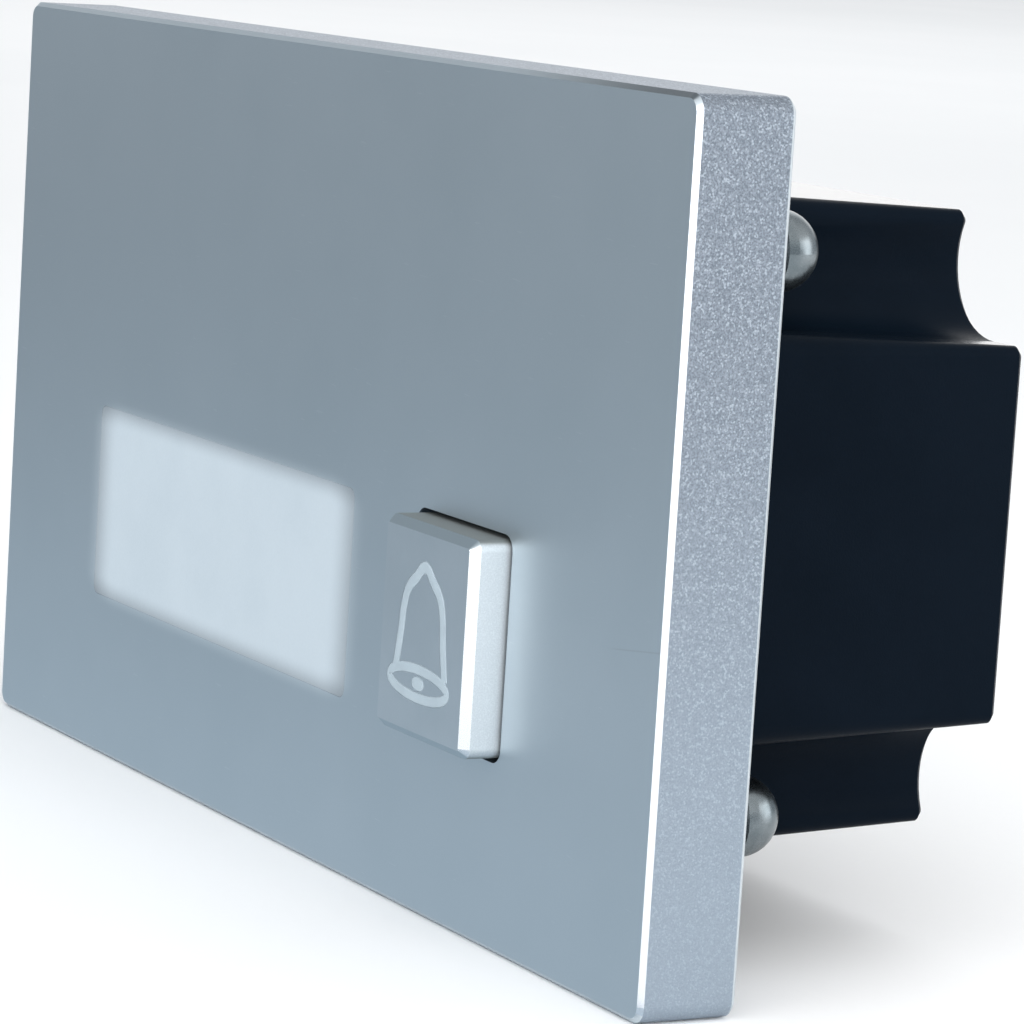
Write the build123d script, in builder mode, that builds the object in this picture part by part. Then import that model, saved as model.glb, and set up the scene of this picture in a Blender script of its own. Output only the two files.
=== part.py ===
from math import radians, tan
import os

from build123d import *

# Intercom button module, in millimetres
# Origin at the centre of the plate's back face: X to the right, Y into the wall, Z up
# Depths are Y values; the front of the plate is at minus its thickness

# Face plate
plate_width = 128.0
plate_height = 70.0
plate_thickness = 8.5
plate_corner_radius = 1.5
plate_edge_chamfer = 0.4
plate_back_chamfer = 0.3
register_depth = 0.6
register_gap = 0.3

# Name window and what is stacked behind it
window_height = 18.0
window_left_margin = 22.0
window_to_button = 12.0
window_bottom_margin = 15.1
window_corner_radius = 0.9
window_land = 2.2
window_lip = 1.4
lens_gap = 0.03
lens_flange_thickness = 1.2
card_thickness = 0.4
diffuser_thickness = 1.5
insert_clearance = 0.15

# Light chamber
chamber_rim_thickness = 1.2
chamber_taper = 14.0
chamber_wall = 1.5
chamber_edge_radius = 1.0
led_count = 3
led_pitch = 13.0
led_width = 3.2
led_height = 2.8
led_thickness = 1.8
led_cup_radius = 1.15
led_cup_depth = 0.8
resistor_length = 3.2
resistor_width = 1.6
resistor_thickness = 0.6
resistor_drop = 7.0

# Call button
button_width = 15.6
button_height = 17.6
button_right_margin = 24.4
button_bottom_margin = 15.5
button_corner_radius = 0.9
button_proud = 3.25
button_edge_chamfer = 0.7
button_gap = 0.4
button_land = 3.5
button_lip = 1.2
button_flange_thickness = 1.5
button_rest_gap = 0.1
button_travel = 1.0
overtravel = 0.4
stem_radius = 2.4
stem_clearance = 0.15

# Button guide and spring
guide_flange_thickness = 2.0
guide_flange_margin = 1.0
well_radius = 5.0
well_wall = 1.5
well_depth = 5.0
well_floor = 1.0
spring_radius = 3.9
spring_wire_radius = 0.3
spring_wire_sides = 6
spring_turns = 3
spring_end_gap = 0.05
guide_screw_radius = 0.85
guide_screw_head_radius = 1.8
guide_screw_head_height = 1.3
guide_screw_bite = 4.0
guide_screw_offset_x = 11.6
guide_screw_offset_z = 7.7
guide_ear_radius = 2.4

# Board, pillars and switch
board_depth = 12.0
board_thickness = 1.6
board_clearance = 0.5
standoff_side_inset = 15.5
standoff_top_inset = 25.5
standoff_across_flats = 5.0
standoff_stud_radius = 1.4
standoff_stud_length = 4.5
standoff_bore_radius = 1.3
standoff_bore_depth = 7.0
board_screw_length = 6.0
board_screw_head_radius = 2.75
board_screw_head_height = 1.9
switch_size = 7.0
switch_height = 3.6
switch_bore_depth = 2.6
plunger_radius = 1.7
plunger_proud = 1.4
plunger_clearance = 0.15
stem_to_plunger = 0.05

# Back box: the insets are from the plate's edge to the rear face, and the draft widens the box
# towards the plate
case_depth = 29.4
case_side_inset = 10.44
case_top_inset = 9.66
case_draft = 2.35
case_wall = 2.0
case_rear_wall = 2.0
case_edge_radius = 0.9
case_rear_chamfer = 0.5
case_collar_radius = 2.0
cove_radius = 6.2
cove_side_inset = 14.1
cove_top_inset = 13.5
pad_thickness = 4.6
access_width = 34.0
access_height = 20.0
access_corner_radius = 2.0

# Rim gasket
gasket_thickness = 1.0
gasket_inset = 0.5

# Case screws with their washers
screw_side_inset = 13.6
screw_top_inset = 12.6
screw_radius = 1.7
screw_bite = 5.5
screw_head_radius = 3.3
screw_head_side = 0.9
screw_head_dome = 3.2
flat_washer_radius = 3.4
flat_washer_thickness = 0.7
spring_washer_radius = 2.9
spring_washer_thickness = 0.9
spring_washer_split = 0.8
washer_clearance = 0.15
hole_clearance = 0.25

# Cross recess of the case screws and slots of the others
recess_length_ratio = 1.15
recess_width = 0.9
recess_depth = 1.5
slot_width = 0.6
slot_depth = 0.7

# Threads are plain cylinders with a small gap in their holes
thread_gap = 0.05
tap_margin = 0.5

# Terminal block
terminal_poles = 4
terminal_pitch = 5.08
terminal_end_wall = 0.2
terminal_depth = 8.4
terminal_height = 10.0
terminal_well_radius = 1.9
terminal_screw_radius = 1.7
terminal_screw_recess = 0.6
mouth_width = 3.2
mouth_height = 3.4
mouth_floor = 1.3
mouth_depth = 6.0
clamp_gap = 0.05
clamp_wall = 0.45
clamp_length = 3.6
clamp_inset = 1.2

# Places across the plate, from its edges
button_x = plate_width / 2 - button_right_margin - button_width / 2
button_z = button_bottom_margin + button_height / 2 - plate_height / 2
window_left = window_left_margin - plate_width / 2
window_right = button_x - button_width / 2 - window_to_button
window_width = window_right - window_left
window_x = (window_left + window_right) / 2
window_z = window_bottom_margin + window_height / 2 - plate_height / 2
case_half_width = plate_width / 2 - case_side_inset
case_half_height = plate_height / 2 - case_top_inset
screw_x = plate_width / 2 - screw_side_inset
screw_z = plate_height / 2 - screw_top_inset
cove_x = plate_width / 2 - cove_side_inset
cove_z = plate_height / 2 - cove_top_inset
standoff_x = plate_width / 2 - standoff_side_inset
standoff_z = plate_height / 2 - standoff_top_inset

# Depth stations worked out from the sizes above
plate_front = -plate_thickness
plate_seat = -register_depth
window_shoulder = plate_front + window_land
lens_back = window_shoulder + lens_flange_thickness
card_back = lens_back + card_thickness
diffuser_back = card_back + diffuser_thickness
chamber_rim_back = diffuser_back + chamber_rim_thickness
button_front = plate_front - button_proud
button_shoulder = plate_front + button_land
flange_front = button_shoulder + button_rest_gap
flange_back = flange_front + button_flange_thickness
guide_front = flange_back + button_travel + overtravel
guide_flange_back = plate_seat + guide_flange_thickness
board_back = board_depth + board_thickness
switch_front = board_depth - switch_height
plunger_front = switch_front - plunger_proud
stem_end = plunger_front - stem_to_plunger
gasket_back = plate_seat + gasket_thickness
seat_depth = gasket_back + pad_thickness
head_seat = seat_depth + flat_washer_thickness + spring_washer_thickness
screw_end = plate_seat - screw_bite
case_floor = case_depth - case_rear_wall
terminal_top = board_back + terminal_height

# Sizes shared by pieces that fit each other
window_pocket_width = window_width + 2 * (window_lip + insert_clearance)
window_pocket_height = window_height + 2 * (window_lip + insert_clearance)
insert_width = window_width + 2 * window_lip
insert_height = window_height + 2 * window_lip
pocket_radius = window_corner_radius + window_lip
opening_width = button_width + 2 * button_gap
opening_height = button_height + 2 * button_gap
opening_radius = button_corner_radius + button_gap
flange_width = button_width + 2 * button_lip
flange_height = button_height + 2 * button_lip
flange_radius = button_corner_radius + button_lip
button_pocket_width = flange_width + 2 * button_gap
button_pocket_height = flange_height + 2 * button_gap
button_pocket_radius = flange_radius + button_gap
terminal_width = terminal_poles * terminal_pitch + 2 * terminal_end_wall
guide_screw_places = [
    (button_x - guide_screw_offset_x, button_z - guide_screw_offset_z),
    (button_x + guide_screw_offset_x, button_z + guide_screw_offset_z),
]


# The four case screws, and the four pillars of the board
def screw_corners():
    return GridLocations(2 * screw_x, 2 * screw_z, 2, 2)


def standoff_corners():
    return GridLocations(2 * standoff_x, 2 * standoff_z, 2, 2)


# A plane across the module at a depth, facing the front, with its x along X and its y along Z
def depth_plane(depth):
    return Plane.XZ.offset(-depth)


# How much wider the box is on each side at a depth than at its rear face
def draft_growth(depth):
    return (case_depth - depth) * tan(radians(case_draft))


# Section of the box at a depth: a rectangle whose corners are scooped out round the screws
def draw_case_section(depth, inset):
    growth = draft_growth(depth) - inset
    half_width = case_half_width + growth
    half_height = case_half_height + growth
    cove = cove_radius - growth
    Rectangle(2 * half_width, 2 * half_height)
    with GridLocations(2 * cove_x, 2 * cove_z, 2, 2):
        Circle(cove, mode=Mode.SUBTRACT)
    with GridLocations(2 * (cove_x + cove), 2 * cove_z, 2, 2):
        Rectangle(2 * cove, 2 * cove, mode=Mode.SUBTRACT)


# Pan-head screws along Y: head on its seat, shank towards the front, slot in the head's face
def draw_slotted_screws(places, seat, shank_radius, shank_length, head_radius, head_height):
    with BuildSketch(depth_plane(seat)) as shanks:
        with places:
            Circle(shank_radius)
    extrude(shanks.sketch, amount=shank_length)
    with BuildSketch(depth_plane(seat)) as heads:
        with places:
            Circle(head_radius)
    extrude(heads.sketch, amount=-head_height)
    with BuildSketch(depth_plane(seat + head_height)) as slots:
        with places:
            Rectangle(2 * head_radius, slot_width)
    extrude(slots.sketch, amount=slot_depth, mode=Mode.SUBTRACT)


# Aluminium face plate, with a shallow register on its back for the box
with BuildPart() as face_plate:
    with BuildSketch(depth_plane(0)):
        RectangleRounded(plate_width, plate_height, plate_corner_radius)
    extrude(amount=plate_thickness)
    chamfer(face_plate.faces().sort_by(Axis.Y)[0].edges(), plate_edge_chamfer)
    chamfer(face_plate.faces().sort_by(Axis.Y)[-1].edges(), plate_back_chamfer)
    with BuildSketch(depth_plane(0)):
        RectangleRounded(
            2 * (case_half_width + draft_growth(gasket_back) + register_gap),
            2 * (case_half_height + draft_growth(gasket_back) + register_gap),
            case_collar_radius + register_gap,
        )
    extrude(amount=register_depth, mode=Mode.SUBTRACT)
    with BuildSketch(depth_plane(0)):
        with Locations((window_x, window_z)):
            RectangleRounded(window_width, window_height, window_corner_radius)
        with Locations((button_x, button_z)):
            RectangleRounded(opening_width, opening_height, opening_radius)
    extrude(amount=plate_thickness, mode=Mode.SUBTRACT)
    with BuildSketch(depth_plane(0)):
        with Locations((window_x, window_z)):
            RectangleRounded(window_pocket_width, window_pocket_height, pocket_radius)
    extrude(amount=-window_shoulder, mode=Mode.SUBTRACT)
    with BuildSketch(depth_plane(0)):
        with Locations((button_x, button_z)):
            RectangleRounded(button_pocket_width, button_pocket_height, button_pocket_radius)
    extrude(amount=-button_shoulder, mode=Mode.SUBTRACT)
    with BuildSketch(depth_plane(plate_seat)):
        with screw_corners():
            Circle(screw_radius + thread_gap)
    extrude(amount=screw_bite + tap_margin, mode=Mode.SUBTRACT)
    with BuildSketch(depth_plane(plate_seat)):
        with standoff_corners():
            Circle(standoff_stud_radius + thread_gap)
    extrude(amount=standoff_stud_length + tap_margin, mode=Mode.SUBTRACT)
    with BuildSketch(depth_plane(plate_seat)):
        with Locations(*guide_screw_places):
            Circle(guide_screw_radius + thread_gap)
    extrude(amount=guide_screw_bite + tap_margin, mode=Mode.SUBTRACT)

# Lens of the name window: its face is flush with the plate, its flange behind the opening
with BuildPart() as name_window:
    with BuildSketch(depth_plane(window_shoulder)):
        with Locations((window_x, window_z)):
            RectangleRounded(
                window_width - 2 * lens_gap,
                window_height - 2 * lens_gap,
                window_corner_radius - lens_gap,
            )
    extrude(amount=window_land)
    with BuildSketch(depth_plane(lens_back)):
        with Locations((window_x, window_z)):
            RectangleRounded(insert_width, insert_height, pocket_radius)
    extrude(amount=lens_flange_thickness)

with BuildPart() as name_card:
    with BuildSketch(depth_plane(card_back)):
        with Locations((window_x, window_z)):
            RectangleRounded(insert_width, insert_height, pocket_radius)
    extrude(amount=card_thickness)

with BuildPart() as diffuser:
    with BuildSketch(depth_plane(diffuser_back)):
        with Locations((window_x, window_z)):
            RectangleRounded(insert_width, insert_height, pocket_radius)
    extrude(amount=diffuser_thickness)

# White reflector: a rim in the pocket and a horn that narrows to the lamps on the board
with BuildPart() as light_chamber:
    with BuildSketch(depth_plane(chamber_rim_back)):
        with Locations((window_x, window_z)):
            RectangleRounded(insert_width, insert_height, pocket_radius)
    extrude(amount=chamber_rim_thickness)
    with BuildSketch(depth_plane(chamber_rim_back)):
        with Locations((window_x, window_z)):
            RectangleRounded(window_width, window_height, chamber_edge_radius)
    extrude(amount=chamber_rim_back - board_depth, taper=chamber_taper)
    with BuildSketch(depth_plane(diffuser_back)):
        with Locations((window_x, window_z)):
            RectangleRounded(
                window_width - 2 * chamber_wall,
                window_height - 2 * chamber_wall,
                chamber_edge_radius,
            )
    extrude(amount=diffuser_back - board_depth, taper=chamber_taper, mode=Mode.SUBTRACT)

# Lamps in a row behind the window, each with a round cup
with BuildPart() as window_leds:
    with BuildSketch(depth_plane(board_depth)):
        with Locations((window_x, window_z)):
            with GridLocations(led_pitch, led_pitch, led_count, 1):
                Rectangle(led_width, led_height)
    extrude(amount=led_thickness)
    with BuildSketch(depth_plane(board_depth - led_thickness)):
        with Locations((window_x, window_z)):
            with GridLocations(led_pitch, led_pitch, led_count, 1):
                Circle(led_cup_radius)
    extrude(amount=-led_cup_depth, mode=Mode.SUBTRACT)

with BuildPart() as led_resistors:
    with BuildSketch(depth_plane(board_back + resistor_thickness)):
        with Locations((window_x, window_z - resistor_drop)):
            with GridLocations(led_pitch, led_pitch, led_count, 1):
                Rectangle(resistor_length, resistor_width)
    extrude(amount=resistor_thickness)

# Board: the box's section, a clearance inside its walls
with BuildPart() as circuit_board:
    with BuildSketch(depth_plane(board_back)):
        draw_case_section(board_back, case_wall + board_clearance)
        with standoff_corners():
            Circle(standoff_bore_radius + hole_clearance, mode=Mode.SUBTRACT)
    extrude(amount=board_thickness)

# Hexagonal pillars screwed into the plate
with BuildPart() as board_standoffs:
    with BuildSketch(depth_plane(board_depth)):
        with standoff_corners():
            RegularPolygon(standoff_across_flats / 2, 6, major_radius=False)
    extrude(amount=board_depth - plate_seat)
    with BuildSketch(depth_plane(plate_seat)):
        with standoff_corners():
            Circle(standoff_stud_radius)
    extrude(amount=standoff_stud_length)
    with BuildSketch(depth_plane(board_depth)):
        with standoff_corners():
            Circle(standoff_bore_radius)
    extrude(amount=standoff_bore_depth, mode=Mode.SUBTRACT)

with BuildPart() as board_screws:
    draw_slotted_screws(
        standoff_corners(),
        board_back,
        standoff_bore_radius - thread_gap,
        board_screw_length,
        board_screw_head_radius,
        board_screw_head_height,
    )

# Call button: chamfered cap, retaining flange and the stem that reaches the switch
with BuildPart() as call_button:
    with BuildSketch(depth_plane(flange_front)):
        with Locations((button_x, button_z)):
            RectangleRounded(button_width, button_height, button_corner_radius)
    extrude(amount=flange_front - button_front)
    chamfer(call_button.faces().sort_by(Axis.Y)[0].edges(), button_edge_chamfer)
    with BuildSketch(depth_plane(flange_back)):
        with Locations((button_x, button_z)):
            RectangleRounded(flange_width, flange_height, flange_radius)
    extrude(amount=button_flange_thickness)
    with BuildSketch(depth_plane(stem_end)):
        with Locations((button_x, button_z)):
            Circle(stem_radius)
    extrude(amount=stem_end - flange_back)

# Guide: plug in the plate's pocket, flange on its back, spring well and stem bearing
with BuildPart() as button_guide:
    with BuildSketch(depth_plane(plate_seat)):
        with Locations((button_x, button_z)):
            RectangleRounded(
                button_pocket_width - 2 * insert_clearance,
                button_pocket_height - 2 * insert_clearance,
                button_pocket_radius - insert_clearance,
            )
    extrude(amount=plate_seat - guide_front)
    with BuildSketch(depth_plane(guide_flange_back)):
        with Locations((button_x, button_z)):
            RectangleRounded(
                button_pocket_width + 2 * guide_flange_margin,
                button_pocket_height,
                button_pocket_radius,
            )
        with Locations(*guide_screw_places):
            Circle(guide_ear_radius)
            Circle(guide_screw_radius + hole_clearance, mode=Mode.SUBTRACT)
    extrude(amount=guide_flange_thickness)
    with BuildSketch(depth_plane(well_depth + well_floor)):
        with Locations((button_x, button_z)):
            Circle(well_radius + well_wall)
    extrude(amount=well_depth + well_floor - plate_seat)
    with BuildSketch(depth_plane(well_depth)):
        with Locations((button_x, button_z)):
            Circle(well_radius)
    extrude(amount=well_depth - guide_front, mode=Mode.SUBTRACT)
    with BuildSketch(depth_plane(well_depth + well_floor)):
        with Locations((button_x, button_z)):
            Circle(stem_radius + stem_clearance)
    extrude(amount=well_floor, mode=Mode.SUBTRACT)

with BuildPart() as guide_screws:
    draw_slotted_screws(
        Locations(*guide_screw_places),
        guide_flange_back,
        guide_screw_radius,
        guide_flange_thickness + guide_screw_bite,
        guide_screw_head_radius,
        guide_screw_head_height,
    )

# Return spring between the button's flange and the floor of the well
spring_start = flange_back + spring_end_gap + spring_wire_radius
spring_end = well_depth - spring_end_gap - spring_wire_radius
with BuildPart() as return_spring:
    with BuildLine() as coil:
        Helix(
            pitch=(spring_end - spring_start) / spring_turns,
            height=spring_end - spring_start,
            radius=spring_radius,
            center=(button_x, spring_start, button_z),
            direction=(0, 1, 0),
        )
    with BuildSketch(Plane(origin=coil.line @ 0, z_dir=coil.line % 0)):
        RegularPolygon(spring_wire_radius, spring_wire_sides)
    sweep(is_frenet=True)

# Push switch on the board
with BuildPart() as switch_body:
    with BuildSketch(depth_plane(board_depth)):
        with Locations((button_x, button_z)):
            RectangleRounded(switch_size, switch_size, plunger_clearance)
    extrude(amount=switch_height)
    with BuildSketch(depth_plane(switch_front)):
        with Locations((button_x, button_z)):
            Circle(plunger_radius + plunger_clearance)
    extrude(amount=-switch_bore_depth, mode=Mode.SUBTRACT)

with BuildPart() as switch_plunger:
    with BuildSketch(depth_plane(switch_front + switch_bore_depth - button_travel - plunger_clearance)):
        with Locations((button_x, button_z)):
            Circle(plunger_radius)
    extrude(amount=switch_bore_depth - button_travel - plunger_clearance + plunger_proud)

# Back box: drafted shell, scooped corners with a pad for each screw, and a rear access opening
with BuildPart() as back_box:
    with BuildSketch(depth_plane(case_depth)) as case_sketch:
        draw_case_section(case_depth, 0)
        ear_corners = case_sketch.vertices().group_by(Axis.Y)
        wall_corners = case_sketch.vertices().group_by(Axis.X)
        fillet(
            ear_corners[0] + ear_corners[-1] + wall_corners[0] + wall_corners[-1],
            case_edge_radius,
        )
    extrude(amount=case_depth - seat_depth, taper=-case_draft)
    chamfer(back_box.faces().sort_by(Axis.Y)[-1].edges(), case_rear_chamfer)
    with BuildSketch(depth_plane(seat_depth)):
        RectangleRounded(
            2 * (case_half_width + draft_growth(seat_depth)),
            2 * (case_half_height + draft_growth(seat_depth)),
            case_collar_radius,
        )
    extrude(amount=pad_thickness, taper=-case_draft)
    with BuildSketch(depth_plane(case_floor)):
        draw_case_section(case_floor, case_wall)
    extrude(amount=case_floor - gasket_back, taper=-case_draft, mode=Mode.SUBTRACT)
    with BuildSketch(depth_plane(case_depth)):
        RectangleRounded(access_width, access_height, access_corner_radius)
    extrude(amount=case_rear_wall, mode=Mode.SUBTRACT)
    with BuildSketch(depth_plane(seat_depth)):
        with screw_corners():
            Circle(screw_radius + hole_clearance)
    extrude(amount=pad_thickness, mode=Mode.SUBTRACT)

# Foam seal between the box's rim and the plate
with BuildPart() as rim_gasket:
    with BuildSketch(depth_plane(gasket_back)):
        RectangleRounded(
            2 * (case_half_width + draft_growth(gasket_back) - gasket_inset),
            2 * (case_half_height + draft_growth(gasket_back) - gasket_inset),
            case_collar_radius,
        )
    extrude(amount=gasket_thickness)
    with BuildSketch(depth_plane(gasket_back)):
        draw_case_section(gasket_back, case_wall)
    extrude(amount=gasket_thickness, mode=Mode.SUBTRACT)
    with BuildSketch(depth_plane(gasket_back)):
        with screw_corners():
            Circle(screw_radius + hole_clearance)
    extrude(amount=gasket_thickness, mode=Mode.SUBTRACT)

# One round-head screw with its cross recess, then its three copies
with BuildPart() as case_screws:
    with BuildSketch(Plane.XY.offset(screw_z)):
        with BuildLine():
            Polyline(
                (screw_x, screw_end),
                (screw_x + screw_radius, screw_end),
                (screw_x + screw_radius, head_seat),
                (screw_x + screw_head_radius, head_seat),
                (screw_x + screw_head_radius, head_seat + screw_head_side),
            )
            RadiusArc(
                (screw_x + screw_head_radius, head_seat + screw_head_side),
                (screw_x, head_seat + screw_head_side + screw_head_dome),
                -(screw_head_radius**2 + screw_head_dome**2) / (2 * screw_head_dome),
            )
            Line((screw_x, head_seat + screw_head_side + screw_head_dome), (screw_x, screw_end))
        make_face()
    revolve(axis=Axis((screw_x, 0, screw_z), (0, 1, 0)))
    with BuildSketch(depth_plane(head_seat + screw_head_side + screw_head_dome)):
        with Locations((screw_x, screw_z)):
            Rectangle(recess_length_ratio * screw_head_radius, recess_width)
            Rectangle(recess_width, recess_length_ratio * screw_head_radius)
    extrude(amount=recess_depth, mode=Mode.SUBTRACT)
    mirror(about=Plane.XY)
    mirror(about=Plane.YZ)

with BuildPart() as flat_washers:
    with BuildSketch(depth_plane(seat_depth + flat_washer_thickness)):
        with screw_corners():
            Circle(flat_washer_radius)
            Circle(screw_radius + washer_clearance, mode=Mode.SUBTRACT)
    extrude(amount=flat_washer_thickness)

with BuildPart() as spring_washers:
    with BuildSketch(depth_plane(head_seat)):
        with screw_corners():
            Circle(spring_washer_radius)
            Circle(screw_radius + washer_clearance, mode=Mode.SUBTRACT)
        with GridLocations(2 * screw_x, 2 * (screw_z + spring_washer_radius), 2, 2):
            Rectangle(spring_washer_split, 2 * spring_washer_radius, mode=Mode.SUBTRACT)
    extrude(amount=spring_washer_thickness)

# Terminal block on the back of the board: screw wells face the rear, wire mouths face down
mouth_middle = board_back + mouth_floor + mouth_height / 2
mouth_top = board_back + mouth_floor + mouth_height
with BuildPart() as terminal_block:
    with BuildSketch(depth_plane(terminal_top)):
        Rectangle(terminal_width, terminal_depth)
    extrude(amount=terminal_height)
    with BuildSketch(depth_plane(terminal_top)):
        with GridLocations(terminal_pitch, terminal_pitch, terminal_poles, 1):
            Circle(terminal_well_radius)
    extrude(amount=terminal_top - mouth_top, mode=Mode.SUBTRACT)
    with BuildSketch(Plane.XY.offset(-terminal_depth / 2)):
        with Locations((0, mouth_middle)):
            with GridLocations(terminal_pitch, terminal_pitch, terminal_poles, 1):
                Rectangle(mouth_width, mouth_height)
    extrude(amount=mouth_depth, mode=Mode.SUBTRACT)

with BuildPart() as terminal_screws:
    with BuildSketch(depth_plane(terminal_top - terminal_screw_recess)):
        with GridLocations(terminal_pitch, terminal_pitch, terminal_poles, 1):
            Circle(terminal_screw_radius)
    extrude(amount=terminal_top - terminal_screw_recess - mouth_top)
    with BuildSketch(depth_plane(terminal_top - terminal_screw_recess)):
        with GridLocations(terminal_pitch, terminal_pitch, terminal_poles, 1):
            Rectangle(2 * terminal_screw_radius, slot_width)
    extrude(amount=slot_depth, mode=Mode.SUBTRACT)

with BuildPart() as wire_clamps:
    with BuildSketch(Plane.XY.offset(-terminal_depth / 2 + clamp_inset)):
        with Locations((0, mouth_middle)):
            with GridLocations(terminal_pitch, terminal_pitch, terminal_poles, 1):
                Rectangle(mouth_width - 2 * clamp_gap, mouth_height - 2 * clamp_gap)
                Rectangle(
                    mouth_width - 2 * (clamp_gap + clamp_wall),
                    mouth_height - 2 * (clamp_gap + clamp_wall),
                    mode=Mode.SUBTRACT,
                )
    extrude(amount=clamp_length)

pieces = {
    "face_plate": face_plate,
    "name_window": name_window,
    "name_card": name_card,
    "diffuser": diffuser,
    "light_chamber": light_chamber,
    "window_leds": window_leds,
    "led_resistors": led_resistors,
    "circuit_board": circuit_board,
    "board_standoffs": board_standoffs,
    "board_screws": board_screws,
    "call_button": call_button,
    "button_guide": button_guide,
    "guide_screws": guide_screws,
    "return_spring": return_spring,
    "switch_body": switch_body,
    "switch_plunger": switch_plunger,
    "back_box": back_box,
    "rim_gasket": rim_gasket,
    "case_screws": case_screws,
    "flat_washers": flat_washers,
    "spring_washers": spring_washers,
    "terminal_block": terminal_block,
    "terminal_screws": terminal_screws,
    "wire_clamps": wire_clamps,
}

os.makedirs("parts", exist_ok=True)
for node, piece in pieces.items():
    piece.part.label = node
    export_step(piece.part, f"parts/{node}.step")
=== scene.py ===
import math

import bpy
from mathutils import Matrix, Vector


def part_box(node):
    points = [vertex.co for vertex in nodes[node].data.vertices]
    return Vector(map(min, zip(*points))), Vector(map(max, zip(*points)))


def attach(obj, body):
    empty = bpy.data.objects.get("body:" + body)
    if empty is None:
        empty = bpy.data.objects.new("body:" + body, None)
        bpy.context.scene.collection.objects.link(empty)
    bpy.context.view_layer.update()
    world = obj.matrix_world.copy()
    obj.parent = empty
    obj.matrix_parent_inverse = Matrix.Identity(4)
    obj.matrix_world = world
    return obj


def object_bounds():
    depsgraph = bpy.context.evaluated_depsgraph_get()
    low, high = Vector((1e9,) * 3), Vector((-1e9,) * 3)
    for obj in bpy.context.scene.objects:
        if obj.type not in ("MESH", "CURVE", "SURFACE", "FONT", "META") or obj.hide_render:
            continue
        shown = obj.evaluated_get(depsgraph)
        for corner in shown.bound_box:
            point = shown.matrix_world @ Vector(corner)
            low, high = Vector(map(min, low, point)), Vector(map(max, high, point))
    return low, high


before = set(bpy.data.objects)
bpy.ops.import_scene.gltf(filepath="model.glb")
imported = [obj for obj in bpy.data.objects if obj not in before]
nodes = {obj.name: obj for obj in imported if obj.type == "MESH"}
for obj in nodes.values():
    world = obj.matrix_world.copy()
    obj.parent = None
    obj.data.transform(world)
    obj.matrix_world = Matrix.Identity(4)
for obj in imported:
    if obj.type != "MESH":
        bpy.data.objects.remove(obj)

cadLow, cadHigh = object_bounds()
mm = 0.001
print("frame loaded with", len(nodes), "nodes")


# Node helpers: a value is either a plain number or another node's output
def feed(tree, socket, value):
    if isinstance(value, bpy.types.NodeSocket):
        tree.links.new(value, socket)
    else:
        socket.default_value = value


def addNode(tree, kind, values=None, **settings):
    node = tree.nodes.new(kind)
    for setting, value in settings.items():
        setattr(node, setting, value)
    for socket, value in (values or {}).items():
        feed(tree, node.inputs[socket], value)
    return node


def calc(tree, operation, *values):
    node = addNode(tree, "ShaderNodeMath", operation=operation)
    for socket, value in zip(node.inputs, values):
        feed(tree, socket, value)
    return node.outputs[0]


def calcVector(tree, operation, *values):
    node = addNode(tree, "ShaderNodeVectorMath", operation=operation)
    for socket, value in zip(node.inputs, values):
        feed(tree, socket, value)
    return node.outputs["Value" if operation in ("DOT_PRODUCT", "LENGTH") else "Vector"]


def smoothStep(tree, value, low, high, first=0.0, last=1.0):
    values = {"Value": value, "From Min": low, "From Max": high, "To Min": first, "To Max": last}
    return addNode(tree, "ShaderNodeMapRange", values, interpolation_type="SMOOTHSTEP").outputs["Result"]


mixSockets = {"RGBA": (0, 6, 7, 2), "FLOAT": (0, 2, 3, 0)}  # factor, first, second and result


def mixBy(tree, kind, *values):
    node = addNode(tree, "ShaderNodeMix", data_type=kind)
    *places, result = mixSockets[kind]
    for place, value in zip(places, values):
        feed(tree, node.inputs[place], value)
    return node.outputs[result]


def mixColour(tree, factor, first, second):
    return mixBy(tree, "RGBA", factor, first, second)


def mixValue(tree, factor, first, second):
    return mixBy(tree, "FLOAT", factor, first, second)


def objectCoords(tree):
    return addNode(tree, "ShaderNodeTexCoord").outputs["Object"]


def split(tree, vector):
    return addNode(tree, "ShaderNodeSeparateXYZ", {"Vector": vector}).outputs


def noise(tree, coords, scale, detail, roughness=0.5):
    values = {"Vector": coords, "Scale": scale, "Detail": detail, "Roughness": roughness}
    return addNode(tree, "ShaderNodeTexNoise", values).outputs["Fac"]


def colour(red, green, blue):
    return (red, green, blue, 1.0)


black = colour(0.0, 0.0, 0.0)


# Shared effects, each a node group that is built once
def newGroup(name, inputs, outputs):
    tree = bpy.data.node_groups.new(name, "ShaderNodeTree")
    for label, kind, value in inputs:
        socket = tree.interface.new_socket(name=label, in_out="INPUT", socket_type="NodeSocket" + kind)
        socket.default_value = value
    for label, kind in outputs:
        tree.interface.new_socket(name=label, in_out="OUTPUT", socket_type="NodeSocket" + kind)
    return tree, addNode(tree, "NodeGroupInput").outputs, addNode(tree, "NodeGroupOutput").inputs


def useGroup(tree, group, values):
    node = addNode(tree, "ShaderNodeGroup", node_tree=group)
    for socket, value in values.items():
        feed(tree, node.inputs[socket], value)
    return node.outputs


driftShape = {"detail": 4.0, "roughness": 0.6, "low": 0.35, "high": 0.68}


def makeToneDrift(shape):  # slow drift between two tones of one colour
    inputs = [
        ("Pale", "Color", colour(0.8, 0.8, 0.8)),
        ("Deep", "Color", colour(0.6, 0.6, 0.6)),
        ("Patch", "Float", 20 * mm),
    ]
    tree, given, result = newGroup("toneDrift", inputs, [("Colour", "Color")])
    scale = calc(tree, "DIVIDE", 1.0, given["Patch"])
    drift = noise(tree, objectCoords(tree), scale, shape["detail"], shape["roughness"])
    share = smoothStep(tree, drift, shape["low"], shape["high"])
    feed(tree, result["Colour"], mixColour(tree, share, given["Pale"], given["Deep"]))
    return tree


grainShape = {"detail": 2.0, "low": 0.3, "high": 0.7}


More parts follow.
